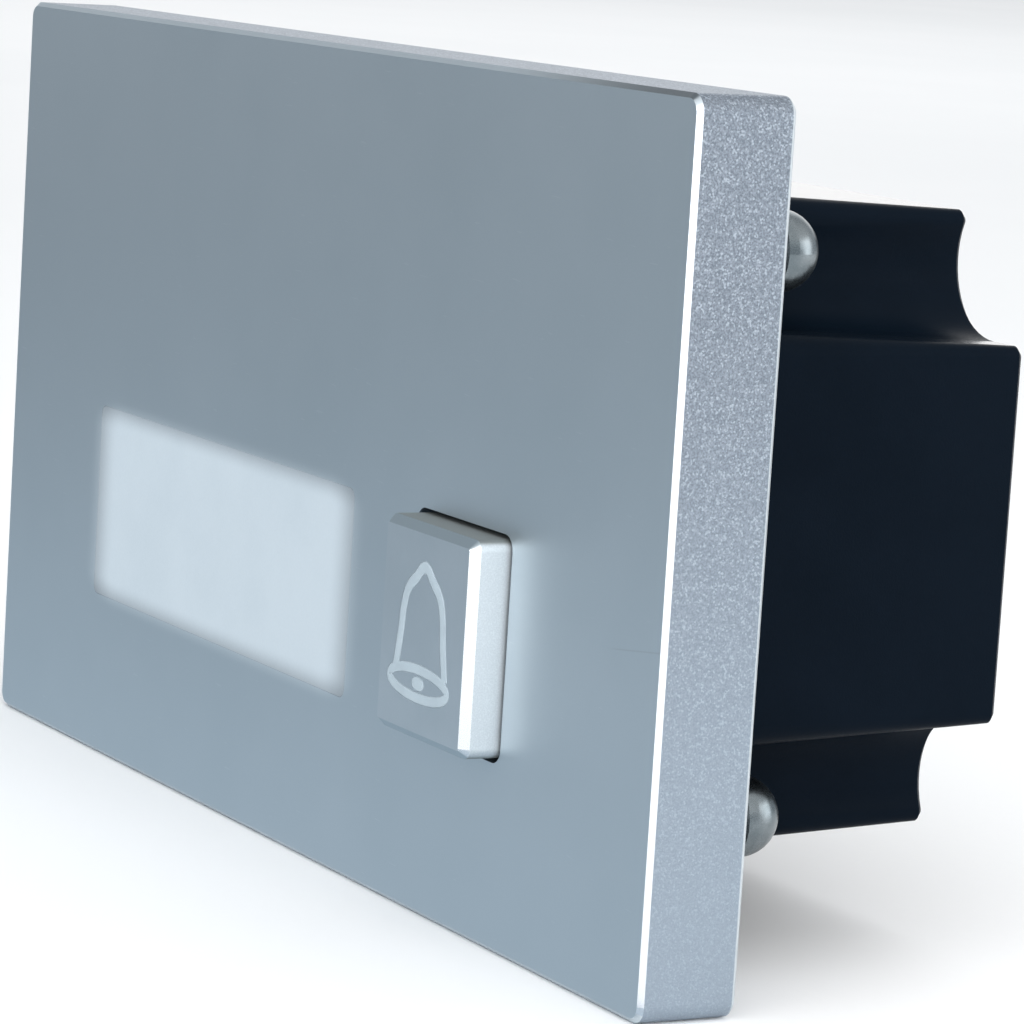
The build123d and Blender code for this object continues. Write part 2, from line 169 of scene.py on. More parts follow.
def makeFineGrain(shape):  # the small unevenness of a moulded, anodised or plated skin
    inputs = [("Grain", "Float", 0.2 * mm), ("Smooth", "Float", 0.3), ("Coarse", "Float", 0.4)]
    tree, given, result = newGroup("fineGrain", inputs, [("Roughness", "Float"), ("Height", "Float")])
    scale = calc(tree, "DIVIDE", 1.0, given["Grain"])
    grain = noise(tree, objectCoords(tree), scale, shape["detail"])
    rough = smoothStep(tree, grain, shape["low"], shape["high"], given["Smooth"], given["Coarse"])
    feed(tree, result["Roughness"], rough)
    feed(tree, result["Height"], grain)
    return tree


blastShape = {
    "detail": 2.0,
    "low": 0.28,
    "high": 0.72,
    "share": 0.5,  # how much of the sparkle is grain, below the glints
    "glintLow": 0.72,  # only the brightest facets glint
    "glintHigh": 1.0,
}


def makeBlastedSkin(shape):  # grit blasting leaves an even grain; the facets that glint are painted glints in the sparkle
    inputs = [("Grain", "Float", 0.3 * mm), ("Glint", "Float", 0.5)]
    tree, given, result = newGroup("blastedSkin", inputs, [("Sparkle", "Float"), ("Height", "Float")])
    scale = calc(tree, "DIVIDE", 1.0, given["Grain"])
    coords = objectCoords(tree)
    cells = addNode(tree, "ShaderNodeTexVoronoi", {"Vector": coords, "Scale": scale})
    facet = split(tree, cells.outputs["Color"])[0]
    grain = noise(tree, coords, scale, shape["detail"])
    bright = smoothStep(tree, facet, shape["glintLow"], shape["glintHigh"])
    glint = calc(tree, "MULTIPLY", bright, given["Glint"])
    dull = smoothStep(tree, grain, shape["low"], shape["high"], 0.0, shape["share"])
    feed(tree, result["Sparkle"], calc(tree, "ADD", dull, glint))
    feed(tree, result["Height"], facet)
    return tree


rubShape = {"scale": 900.0, "detail": 3.0, "reach": 2.0}


def makeEdgeRub(shape):  # mask along the edges of a box, where handling polishes them
    inputs = [
        ("Middle", "Vector", (0.0, 0.0, 0.0)),
        ("Half", "Vector", (0.05, 0.05, 0.05)),
        ("Width", "Float", 0.5 * mm),
    ]
    tree, given, result = newGroup("edgeRub", inputs, [("Mask", "Float")])
    coords = objectCoords(tree)
    offset = calcVector(tree, "ABSOLUTE", calcVector(tree, "SUBTRACT", coords, given["Middle"]))
    x, y, z = split(tree, calcVector(tree, "SUBTRACT", given["Half"], offset))
    least = calc(tree, "MINIMUM", x, y)
    most = calc(tree, "MAXIMUM", x, y)
    second = calc(tree, "MAXIMUM", least, calc(tree, "MINIMUM", most, z))  # next nearest face is the edge
    ragged = noise(tree, coords, shape["scale"], shape["detail"])
    reach = calc(tree, "MULTIPLY", given["Width"], calc(tree, "MULTIPLY", ragged, shape["reach"]))
    feed(tree, result["Mask"], smoothStep(tree, second, reach, 0.0))
    return tree


scratchShape = {"lean": 0.03, "scale": 4.0, "detail": 1.0, "fade": 0.05}


def makeHairScratches(shape):  # a few fine lines along X, broken into short lengths
    inputs = [("Spacing", "Float", 1.2 * mm), ("Length", "Float", 12 * mm), ("Threshold", "Float", 0.7)]
    tree, given, result = newGroup("hairScratches", inputs, [("Mask", "Float")])
    x, y, z = split(tree, objectCoords(tree))
    along = calc(tree, "DIVIDE", x, given["Length"])
    leaning = calc(tree, "ADD", z, calc(tree, "MULTIPLY", x, shape["lean"]))
    across = calc(tree, "DIVIDE", leaning, given["Spacing"])
    stretched = addNode(tree, "ShaderNodeCombineXYZ", {"X": along, "Y": y, "Z": across}).outputs["Vector"]
    lines = noise(tree, stretched, shape["scale"], shape["detail"])
    top = calc(tree, "ADD", given["Threshold"], shape["fade"])
    feed(tree, result["Mask"], smoothStep(tree, lines, given["Threshold"], top))
    return tree


speckShape = {"bareShare": 0.6}  # share of the cells that stay clean


def makeDustSpecks(shape):  # sparse round specks
    inputs = [("Spacing", "Float", 6 * mm), ("Size", "Float", 0.04)]
    tree, given, result = newGroup("dustSpecks", inputs, [("Mask", "Float")])
    scale = calc(tree, "DIVIDE", 1.0, given["Spacing"])
    cells = addNode(tree, "ShaderNodeTexVoronoi", {"Vector": objectCoords(tree), "Scale": scale})
    draw = split(tree, cells.outputs["Color"])[1]
    chosen = calc(tree, "GREATER_THAN", draw, shape["bareShare"])
    speck = smoothStep(tree, cells.outputs["Distance"], given["Size"], 0.0)
    feed(tree, result["Mask"], calc(tree, "MULTIPLY", speck, chosen))
    return tree


def makeSoftPanel():  # 1 inside an upright panel, fading to 0 across its border
    inputs = [
        ("Middle", "Vector", (0.0, 0.0, 0.0)),
        ("Half", "Vector", (0.02, 0.0, 0.01)),
        ("Round", "Float", 1.0 * mm),
        ("Stretch", "Float", 1.0),
        ("Inner", "Float", 0.5 * mm),
        ("Outer", "Float", 0.5 * mm),
    ]
    tree, given, result = newGroup("softPanel", inputs, [("Mask", "Float")])
    offset = calcVector(tree, "ABSOLUTE", calcVector(tree, "SUBTRACT", objectCoords(tree), given["Middle"]))
    beyondX, _, beyondZ = split(tree, calcVector(tree, "SUBTRACT", offset, given["Half"]))
    x = calc(tree, "ADD", calc(tree, "DIVIDE", beyondX, given["Stretch"]), given["Round"])
    z = calc(tree, "ADD", beyondZ, given["Round"])
    inside = calc(tree, "MINIMUM", calc(tree, "MAXIMUM", x, z), 0.0)
    outX = calc(tree, "MAXIMUM", x, 0.0)
    outZ = calc(tree, "MAXIMUM", z, 0.0)
    outward = addNode(tree, "ShaderNodeCombineXYZ", {"X": outX, "Z": outZ}).outputs["Vector"]
    toArc = calc(tree, "ADD", inside, calcVector(tree, "LENGTH", outward))
    distance = calc(tree, "SUBTRACT", toArc, given["Round"])  # below 0 inside the panel
    inner = calc(tree, "MULTIPLY", given["Inner"], -1.0)
    feed(tree, result["Mask"], smoothStep(tree, distance, given["Outer"], inner))
    return tree


def makeFacing():  # 1 where the surface looks along a direction
    inputs = [
        ("Direction", "Vector", (0.0, -1.0, 0.0)),
        ("Start", "Float", 0.85),
        ("Full", "Float", 0.95),
    ]
    tree, given, result = newGroup("facing", inputs, [("Mask", "Float")])
    normal = addNode(tree, "ShaderNodeTexCoord").outputs["Normal"]
    aligned = calcVector(tree, "DOT_PRODUCT", normal, given["Direction"])
    feed(tree, result["Mask"], smoothStep(tree, aligned, given["Start"], given["Full"]))
    return tree


toneDrift = makeToneDrift(driftShape)
fineGrain = makeFineGrain(grainShape)
blastedSkin = makeBlastedSkin(blastShape)
edgeRub = makeEdgeRub(rubShape)
hairScratches = makeHairScratches(scratchShape)
dustSpecks = makeDustSpecks(speckShape)
softPanel = makeSoftPanel()
facing = makeFacing()
print("node groups made:", len(bpy.data.node_groups))

slant = math.sqrt(0.5)  # chamfers lie at 45 degrees
ways = {
    "front": (0.0, -1.0, 0.0),
    "back": (0.0, 1.0, 0.0),
    "left": (-1.0, 0.0, 0.0),
    "right": (1.0, 0.0, 0.0),
    "up": (0.0, 0.0, 1.0),
    "frontRight": (slant, -slant, 0.0),
    "frontUp": (0.0, -slant, slant),
}


def facingMask(tree, way, span):  # span is where the mask starts and where it is full
    start, full = span
    return useGroup(tree, facing, {"Direction": ways[way], "Start": start, "Full": full})["Mask"]


# Materials
def newMaterial(name):
    material = bpy.data.materials.new(name)
    material.use_nodes = True
    tree = material.node_tree
    return material, tree, tree.nodes["Principled BSDF"]


def addBump(tree, shader, height, strength, distance):
    bump = addNode(tree, "ShaderNodeBump", {"Height": height, "Strength": strength, "Distance": distance})
    tree.links.new(bump.outputs["Normal"], shader.inputs["Normal"])


def dress(nodeName, material):
    piece = nodes[nodeName]
    if not piece.material_slots:
        piece.data.materials.append(material)
    for slot in piece.material_slots:
        slot.material = material


def middleAndHalf(nodeName):
    low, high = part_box(nodeName)
    return (low + high) / 2, (high - low) / 2


def driftTone(tree, pale, deep, patch):
    return useGroup(tree, toneDrift, {"Pale": pale, "Deep": deep, "Patch": patch})["Colour"]


def grainSkin(tree, size, smooth, coarse):
    return useGroup(tree, fineGrain, {"Grain": size, "Smooth": smooth, "Coarse": coarse})


def rubEdges(tree, base, nodeName, width, amount, rubColour):
    middle, half = middleAndHalf(nodeName)
    rub = useGroup(tree, edgeRub, {"Middle": middle, "Half": half, "Width": width})["Mask"]
    return mixColour(tree, calc(tree, "MULTIPLY", rub, amount), base, rubColour)


def makeSkin(name, look):  # drifted tone, grain, a little dust and, where asked, rubbed edges or a glossy top
    material, tree, shader = newMaterial(name)
    base = driftTone(tree, look["pale"], look["deep"], look["patch"])
    grain = grainSkin(tree, look["grain"], look["smooth"], look["coarse"])
    if "rubbedPiece" in look:
        base = rubEdges(
            tree, base, look["rubbedPiece"], look["rubWidth"], look["rubAmount"], look["rubColour"]
        )
    dust = useGroup(tree, dustSpecks, {"Spacing": look["dustSpacing"], "Size": look["dustSize"]})["Mask"]
    base = mixColour(tree, calc(tree, "MULTIPLY", dust, look["dustAmount"]), base, look["dustColour"])
    feed(tree, shader.inputs["Base Color"], base)
    feed(tree, shader.inputs["Roughness"], grain["Roughness"])
    if "topGloss" in look:
        top = facingMask(tree, "up", look["topSpan"])
        feed(tree, shader.inputs["Coat Weight"], calc(tree, "MULTIPLY", top, look["topGloss"]))
        shader.inputs["Coat Roughness"].default_value = look["topRoughness"]
    shader.inputs["Metallic"].default_value = look["metallic"]
    shader.inputs["Specular IOR Level"].default_value = look["specular"]
    shader.inputs["IOR"].default_value = look["bending"]
    addBump(tree, shader, grain["Height"], look["bump"], look["grain"])
    return material


skinLook = {"bending": 1.45, "dustSize": 0.03, "dustColour": colour(0.5, 0.5, 0.5)}  # unless changed


def plasticLook(pale, deep, **changes):
    look = {
        "pale": pale, "deep": deep, "patch": 8 * mm, "grain": 0.15 * mm, "smooth": 0.4, "coarse": 0.55,
        "metallic": 0.0, "specular": 0.4, "bump": 0.12, "dustSpacing": 5 * mm, "dustAmount": 0.25,
    }
    return {**skinLook, **look, **changes}


def metalLook(pale, deep, **changes):
    look = {
        "pale": pale, "deep": deep, "patch": 3 * mm, "grain": 0.08 * mm, "smooth": 0.2, "coarse": 0.32,
        "metallic": 1.0, "specular": 0.5, "bump": 0.06, "dustSpacing": 4 * mm, "dustAmount": 0.1,
    }
    return {**skinLook, **look, **changes}


def dressAll(finishes):
    for nodeName, (finish, look) in finishes.items():
        dress(nodeName, makeSkin(finish, look))


# Light from behind the window: it crosses the border of the lens, softer sideways than upright
windowMiddle, windowHalf = middleAndHalf("name_window")
windowLip = 1.4 * mm  # flange of the lens behind the plate
litPanel = {
    "Middle": windowMiddle,
    "Half": windowHalf - Vector((windowLip, 0.0, windowLip)),
    "Round": 2.2 * mm,
    "Stretch": 2.3,
    "Inner": 1.8 * mm,
    "Outer": 1.1 * mm,
}

# Face plate: satin front, grit-blasted sides with painted glints and painted light towards the foot, bright
# cut chamfer with painted shade at the top chamfer's right end, painted highlight along the back edge,
# painted glow from the window at its border
facePlate = {
    "frontSpan": (0.55, 0.68),
    "frontPale": colour(0.605, 0.665, 0.705),
    "frontDeep": colour(0.565, 0.63, 0.67),
    "tonePatch": 60 * mm,
    "frontGrain": 0.12 * mm,
    "frontSmooth": 0.41,
    "frontCoarse": 0.47,
    "sideDark": colour(0.163, 0.19, 0.226),
    "sideBright": colour(0.405, 0.455, 0.517),
    "sideGrain": 0.15 * mm,
    "sideGlint": 0.7,
    "sideRoughness": 0.5,
    "paintedLightStart": 22.4 * mm,  # painted light: the sides are made paler towards the foot, where their grain and glints fade
    "paintedLightEnd": -32.6 * mm,
    "paintedLightAmount": 0.75,
    "paintedLightColour": colour(0.338, 0.402, 0.468),
    "chamferSpan": (0.9, 0.97),
    "chamferColour": colour(0.88, 0.91, 0.95),
    "chamferRoughness": 0.22,
    "tipShadeColour": colour(0.12, 0.135, 0.145),  # painted shade: the top chamfer is darkened towards its right end
    "tipShadeStart": 30.2 * mm,
    "tipShadeEnd": 60.2 * mm,
    "tipShadeAmount": 0.8,
    "backSpan": (0.95, 0.8),  # runs down, so the mask is 1 on all but the back
    "backEdgeHighlight": colour(0.60, 0.65, 0.68),
    "backHighlightWidth": 0.3 * mm,
    "backHighlightFade": 0.15 * mm,
    "scratchThreshold": 0.72,
    "scratchColour": colour(0.82, 0.86, 0.88),
    "scratchAmount": 0.15,
    "speckSpacing": 17 * mm,
    "speckSize": 0.016,
    "speckColour": colour(0.9, 0.92, 0.93),
    "speckAmount": 0.5,
    "scoreStart": Vector((55.2, 0.0, -7.6)) * mm,  # one dull score that runs out at the right edge
    "scoreSlope": 0.13,
    "scoreRamp": 3 * mm,
    "scoreWidth": 0.1 * mm,
    "scoreAmount": 0.3,
    "scoreColour": colour(0.40, 0.43, 0.45),
    "spillColour": colour(0.25, 0.27, 0.28),
    "wallGlow": colour(0.42, 0.50, 0.56),
    "bumpStrength": 0.35,
    "bumpDepth": 0.1 * mm,
}


def plateFrontTone(tree, look, x, z):  # drifted satin with hair scratches, specks and the score
    tone = driftTone(tree, look["frontPale"], look["frontDeep"], look["tonePatch"])
    scratch = useGroup(tree, hairScratches, {"Threshold": look["scratchThreshold"]})["Mask"]
    scratch = calc(tree, "MULTIPLY", scratch, look["scratchAmount"])
    tone = mixColour(tree, scratch, tone, look["scratchColour"])
    speck = useGroup(tree, dustSpecks, {"Spacing": look["speckSpacing"], "Size": look["speckSize"]})["Mask"]
    speck = calc(tree, "MULTIPLY", speck, look["speckAmount"])
    tone = mixColour(tree, speck, tone, look["speckColour"])
    along = calc(tree, "SUBTRACT", x, look["scoreStart"].x)
    rise = calc(tree, "SUBTRACT", z, look["scoreStart"].z)
    across = calc(tree, "SUBTRACT", rise, calc(tree, "MULTIPLY", along, look["scoreSlope"]))
    line = smoothStep(tree, calc(tree, "ABSOLUTE", across), look["scoreWidth"], 0.0)
    depth = smoothStep(tree, along, 0.0, look["scoreRamp"], 0.0, look["scoreAmount"])
    return mixColour(tree, calc(tree, "MULTIPLY", line, depth), tone, look["scoreColour"])


def makePlateMetal(look):
    material, tree, shader = newMaterial("plateAluminium")
    x, y, z = split(tree, objectCoords(tree))
    front = facingMask(tree, "front", look["frontSpan"])
    blast = useGroup(tree, blastedSkin, {"Grain": look["sideGrain"], "Glint": look["sideGlint"]})
    sideTone = mixColour(tree, blast["Sparkle"], look["sideDark"], look["sideBright"])
    # painted light: the sides turn paler and plainer towards the foot
    paintedFootLight = smoothStep(tree, z, look["paintedLightStart"], look["paintedLightEnd"], 0.0, look["paintedLightAmount"])
    sideTone = mixColour(tree, paintedFootLight, sideTone, look["paintedLightColour"])
    base = mixColour(tree, front, sideTone, plateFrontTone(tree, look, x, z))
    rightChamfer = facingMask(tree, "frontRight", look["chamferSpan"])
    base = mixColour(tree, rightChamfer, base, look["chamferColour"])
    # painted shade: the top chamfer darkens towards its right end
    topChamfer = facingMask(tree, "frontUp", look["chamferSpan"])
    tipShade = smoothStep(tree, x, look["tipShadeStart"], look["tipShadeEnd"], 0.0, look["tipShadeAmount"])
    base = mixColour(tree, calc(tree, "MULTIPLY", topChamfer, tipShade), base, look["tipShadeColour"])
    # painted highlight: a pale line along the back edge, on all faces but the back
    width = look["backHighlightWidth"]
    backHighlight = smoothStep(tree, y, -width - look["backHighlightFade"], -width)
    notBack = facingMask(tree, "back", look["backSpan"])
    base = mixColour(tree, calc(tree, "MULTIPLY", backHighlight, notBack), base, look["backEdgeHighlight"])
    grain = grainSkin(tree, look["frontGrain"], look["frontSmooth"], look["frontCoarse"])
    rough = mixValue(tree, front, look["sideRoughness"], grain["Roughness"])
    rough = mixValue(tree, rightChamfer, rough, look["chamferRoughness"])
    # painted light: the plate glows around the window, where the window's light spills onto it
    spill = useGroup(tree, softPanel, litPanel)["Mask"]
    glow = mixColour(tree, front, look["wallGlow"], look["spillColour"])
    feed(tree, shader.inputs["Base Color"], base)
    feed(tree, shader.inputs["Roughness"], rough)
    feed(tree, shader.inputs["Emission Color"], mixColour(tree, spill, black, glow))
    shader.inputs["Emission Strength"].default_value = 1.0
    shader.inputs["Metallic"].default_value = 1.0
    height = calc(tree, "MULTIPLY", blast["Height"], calc(tree, "SUBTRACT", 1.0, front))
    addBump(tree, shader, height, look["bumpStrength"], look["bumpDepth"])
    return material


dress("face_plate", makePlateMetal(facePlate))

# Name window: frosted lens, lit from behind, softer at its border
nameWindow = {
    "litPale": colour(0.475, 0.56, 0.625),
    "litDeep": colour(0.445, 0.53, 0.595),
    "patch": 14 * mm,
    "border": colour(0.14, 0.172, 0.20),
    "lensColour": colour(0.10, 0.11, 0.12),
    "grain": 0.2 * mm,
    "smooth": 0.5,
    "coarse": 0.62,
    "speckSpacing": 9 * mm,
    "speckSize": 0.02,
    "speckColour": colour(0.2, 0.22, 0.24),
    "specular": 0.25,
    "bumpStrength": 0.05,
    "bumpDepth": 0.05 * mm,
}


def makeWindowLens(look):
    material, tree, shader = newMaterial("windowLens")
    lit = driftTone(tree, look["litPale"], look["litDeep"], look["patch"])
    inside = useGroup(tree, softPanel, litPanel)["Mask"]
    grain = grainSkin(tree, look["grain"], look["smooth"], look["coarse"])
    speck = useGroup(tree, dustSpecks, {"Spacing": look["speckSpacing"], "Size": look["speckSize"]})["Mask"]
    feed(tree, shader.inputs["Base Color"], mixColour(tree, speck, look["lensColour"], look["speckColour"]))
    feed(tree, shader.inputs["Roughness"], grain["Roughness"])
    feed(tree, shader.inputs["Emission Color"], mixColour(tree, inside, look["border"], lit))
    shader.inputs["Emission Strength"].default_value = 1.0
    shader.inputs["Specular IOR Level"].default_value = look["specular"]
    addBump(tree, shader, grain["Height"], look["bumpStrength"], look["bumpDepth"])
    return material


dress("name_window", makeWindowLens(nameWindow))

# Behind the window
windowStack = {
    "name_card": ("cardPaper", plasticLook(
        colour(0.86, 0.87, 0.88), colour(0.79, 0.80, 0.82), smooth=0.75, coarse=0.9, specular=0.2,
    )),
    "diffuser": ("opalPanel", plasticLook(colour(0.88, 0.90, 0.92), colour(0.82, 0.85, 0.88), bump=0.05)),
    "light_chamber": ("chamberWhite", plasticLook(colour(0.85, 0.86, 0.87), colour(0.76, 0.78, 0.80))),
    "window_leds": ("lampWhite", plasticLook(
        colour(0.90, 0.88, 0.70), colour(0.82, 0.78, 0.56), patch=2 * mm, smooth=0.25, coarse=0.35,
    )),
}
dressAll(windowStack)

# Circuit board, what is on it and what carries it
boardPieces = {
    "led_resistors": ("resistorBlack", plasticLook(
        colour(0.035, 0.035, 0.04), colour(0.02, 0.02, 0.024), patch=1 * mm,
    )),
    "circuit_board": ("boardGreen", plasticLook(
        colour(0.03, 0.17, 0.07), colour(0.018, 0.12, 0.05), patch=6 * mm, smooth=0.28, coarse=0.38,
        rubbedPiece="circuit_board", rubWidth=0.4 * mm, rubAmount=0.6, rubColour=colour(0.36, 0.33, 0.16),
    )),
    "board_standoffs": ("pillarBrass", metalLook(colour(0.72, 0.54, 0.24), colour(0.58, 0.41, 0.16))),
    "board_screws": ("boardScrewZinc", metalLook(colour(0.62, 0.64, 0.66), colour(0.48, 0.50, 0.52))),
}
dressAll(boardPieces)
print("plate, window and board dressed")

# Call button: satin cap, bright right chamfer, painted shade on the slopes and ends, flanks paler in part
# from painted light
callButton = {
    "flatSpan": (0.8, 0.95),
    "facePale": colour(0.625, 0.675, 0.71),
    "faceDeep": colour(0.585, 0.64, 0.675),
    "facePatch": 12 * mm,
    "faceGrain": 0.1 * mm,
    "smooth": 0.40,
    "coarse": 0.46,
    "rubWidth": 0.4 * mm,
    "rubAmount": 0.3,
    "rubColour": colour(0.8, 0.84, 0.86),
    "frontSpan": (0.55, 0.68),
    "slopeShadeColour": colour(0.46, 0.535, 0.575),
    "endShadeColour": colour(0.36, 0.385, 0.38),
    "flankSpan": (0.5, 0.9),
    # flank tones, paler in part as painted light from the right
    "sideDark": colour(0.685, 0.73, 0.76),
    "sideBright": colour(0.825, 0.87, 0.895),
    "sideGrain": 0.12 * mm,
    "sideGlint": 0.3,
    "sideRoughness": 0.6,
    "chamferSpan": (0.8, 0.95),
    "chamferColour": colour(0.86, 0.89, 0.92),
    "chamferRoughness": 0.25,
    "bumpStrength": 0.05,
    "bumpDepth": 0.05 * mm,
}


def makeButtonMetal(look):
    material, tree, shader = newMaterial("buttonMetal")
    flat = facingMask(tree, "front", look["flatSpan"])
    front = facingMask(tree, "front", look["frontSpan"])  # the face with its slopes
    flankRight = facingMask(tree, "right", look["flankSpan"])
    flank = calc(tree, "MAXIMUM", flankRight, facingMask(tree, "left", look["flankSpan"]))
    rightChamfer = facingMask(tree, "frontRight", look["chamferSpan"])
    base = driftTone(tree, look["facePale"], look["faceDeep"], look["facePatch"])
    base = rubEdges(tree, base, "call_button", look["rubWidth"], look["rubAmount"], look["rubColour"])
    # painted shade: the slopes and the top and bottom ends get darker tones
    base = mixColour(tree, flat, look["slopeShadeColour"], base)
    base = mixColour(tree, front, look["endShadeColour"], base)
    blast = useGroup(tree, blastedSkin, {"Grain": look["sideGrain"], "Glint": look["sideGlint"]})
    side = mixColour(tree, blast["Sparkle"], look["sideDark"], look["sideBright"])
    # the paler flanks are partly painted light, standing for the light on the button's side
    base = mixColour(tree, flank, base, side)
    base = mixColour(tree, rightChamfer, base, look["chamferColour"])
    grain = grainSkin(tree, look["faceGrain"], look["smooth"], look["coarse"])
    rough = mixValue(tree, front, look["sideRoughness"], grain["Roughness"])
    rough = mixValue(tree, rightChamfer, rough, look["chamferRoughness"])
    feed(tree, shader.inputs["Base Color"], base)
    feed(tree, shader.inputs["Roughness"], rough)
    shader.inputs["Metallic"].default_value = 1.0
    addBump(tree, shader, grain["Height"], look["bumpStrength"], look["bumpDepth"])
    return material


dress("call_button", makeButtonMetal(callButton))

# Bell sign on the button: a pointed dome over a round mouth with its clapper, sizes in millimetres
bellSign = {
    "middle": (-0.35, 0.0, 0.0),  # from the middle of the button's face
    "dome": [(0.0, 5.4), (1.5, 4.4), (2.75, 3.35), (3.35, 1.9), (3.65, -0.2), (4.25, -3.2)],
    "domeShift": 0.25,
    "domeWeight": 1.5,  # weights multiply lineRadius
    "mouthHeight": -4.1,
    "mouthHalf": (5.0, 1.15),
    "mouthWeight": 1.25,
    "clapperHalf": (0.75, 0.2625),
    "clapperWeight": 0.9,
    "roundSteps": 32,
    "lineRadius": 0.36,
    "lineBevel": 2,
    "curveSteps": 6,
    "lineRise": 0.02,  # how far a line of weight 1 stands out of the face
    "paint": plasticLook(
        colour(0.43, 0.515, 0.57), colour(0.40, 0.48, 0.535), patch=3 * mm, smooth=0.5, coarse=0.6,
        specular=0.2,
    ),
}


def bellLines(look):  # points, whether the line is closed, and its weight
    halfDome = look["dome"]
    shift = look["domeShift"]
    dome = [(shift - x, z) for x, z in reversed(halfDome[1:])] + [(shift + x, z) for x, z in halfDome]
    steps = look["roundSteps"]
    turns = [2 * math.pi * step / steps for step in range(steps)]

    def roundLine(half):
        wide, tall = half
        return [(wide * math.cos(a), look["mouthHeight"] + tall * math.sin(a)) for a in turns]

    return [
        (dome, False, look["domeWeight"]),
        (roundLine(look["mouthHalf"]), True, look["mouthWeight"]),
        (roundLine(look["clapperHalf"]), True, look["clapperWeight"]),
    ]


def drawBell(look):
    curve = bpy.data.curves.new("bellLine", "CURVE")
    curve.dimensions = "3D"
    curve.bevel_depth = look["lineRadius"] * mm
    curve.bevel_resolution = look["lineBevel"]
    curve.resolution_u = look["curveSteps"]
    curve.use_fill_caps = True
    for points, closed, weight in bellLines(look):
        spline = curve.splines.new("BEZIER")
        spline.bezier_points.add(len(points) - 1)
        spline.use_cyclic_u = closed
        for point, (x, z) in zip(spline.bezier_points, points):
            point.co = Vector((x, 0.0, z)) * mm
            point.radius = weight
            point.handle_left_type = "AUTO"
            point.handle_right_type = "AUTO"
    drawn = bpy.data.objects.new("bellLine", curve)
    bpy.context.collection.objects.link(drawn)
    mesh = bpy.data.meshes.new_from_object(drawn.evaluated_get(bpy.context.evaluated_depsgraph_get()))
    bpy.data.objects.remove(drawn)
    return mesh


def makeBellSign(look):
    mesh = drawBell(look)
    low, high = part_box("call_button")
    flat = Matrix.Diagonal((1.0, look["lineRise"] / look["lineRadius"], 1.0, 1.0))  # pressed onto the face
    seat = Vector(((low.x + high.x) / 2, low.y, (low.z + high.z) / 2)) + Vector(look["middle"]) * mm
    mesh.transform(Matrix.Translation(seat) @ flat)
    mesh.materials.append(makeSkin("signPaint", look["paint"]))
    sign = bpy.data.objects.new("bellSign", mesh)
    bpy.context.collection.objects.link(sign)
    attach(sign, "button")


makeBellSign(bellSign)

# Behind the button
buttonWorks = {
    "button_guide": ("guideBlack", plasticLook(colour(0.02, 0.02, 0.022), colour(0.012, 0.012, 0.014))),
    "guide_screws": ("guideScrewZinc", metalLook(colour(0.60, 0.62, 0.64), colour(0.46, 0.48, 0.50))),
    "return_spring": ("springSteel", metalLook(
        colour(0.52, 0.53, 0.55), colour(0.38, 0.39, 0.41), patch=1.5 * mm,
    )),
    "switch_body": ("switchBlack", plasticLook(
        colour(0.03, 0.03, 0.034), colour(0.018, 0.018, 0.02), patch=3 * mm,
    )),
    "switch_plunger": ("plungerRed", plasticLook(
        colour(0.46, 0.03, 0.02), colour(0.36, 0.02, 0.015), patch=2 * mm, smooth=0.3, coarse=0.4,
    )),
}
dressAll(buttonWorks)
print("button and switch dressed")

# Back box, its seal, screws and washers
boxPieces = {
    "back_box": ("boxBlack", plasticLook(
        colour(0.0025, 0.0058, 0.0110), colour(0.0018, 0.0047, 0.0091), patch=18 * mm, grain=0.18 * mm,
        smooth=0.32, coarse=0.42, specular=0.5, bending=1.1, bump=0.08, dustSpacing=14 * mm, dustAmount=0.12,
        topSpan=(0.9975, 0.999), topGloss=0.9, topRoughness=0.16,
    )),
    "rim_gasket": ("sealFoam", plasticLook(
        colour(0.022, 0.022, 0.024), colour(0.012, 0.012, 0.013), smooth=0.8, coarse=0.95, bump=0.4,
    )),
    "case_screws": ("screwNickel", metalLook(
        colour(0.22, 0.25, 0.265), colour(0.15, 0.18, 0.195), smooth=0.25, coarse=0.33, bump=0.02,
    )),
    "flat_washers": ("flatWasherZinc", metalLook(colour(0.56, 0.57, 0.58), colour(0.42, 0.43, 0.44))),
    "spring_washers": ("springWasherSteel", metalLook(colour(0.46, 0.47, 0.48), colour(0.32, 0.33, 0.34))),
}
dressAll(boxPieces)

# Wire terminals
terminals = {
    "terminal_block": ("terminalGreen", plasticLook(
        colour(0.03, 0.26, 0.10), colour(0.018, 0.2, 0.07), patch=4 * mm,
        rubbedPiece="terminal_block", rubWidth=0.25 * mm, rubAmount=0.35, rubColour=colour(0.12, 0.4, 0.2),
    )),
    "terminal_screws": ("terminalScrewZinc", metalLook(colour(0.62, 0.64, 0.66), colour(0.46, 0.48, 0.50))),
    "wire_clamps": ("clampBrass", metalLook(colour(0.70, 0.53, 0.25), colour(0.54, 0.39, 0.16))),
}
dressAll(terminals)
print("box and terminals dressed")

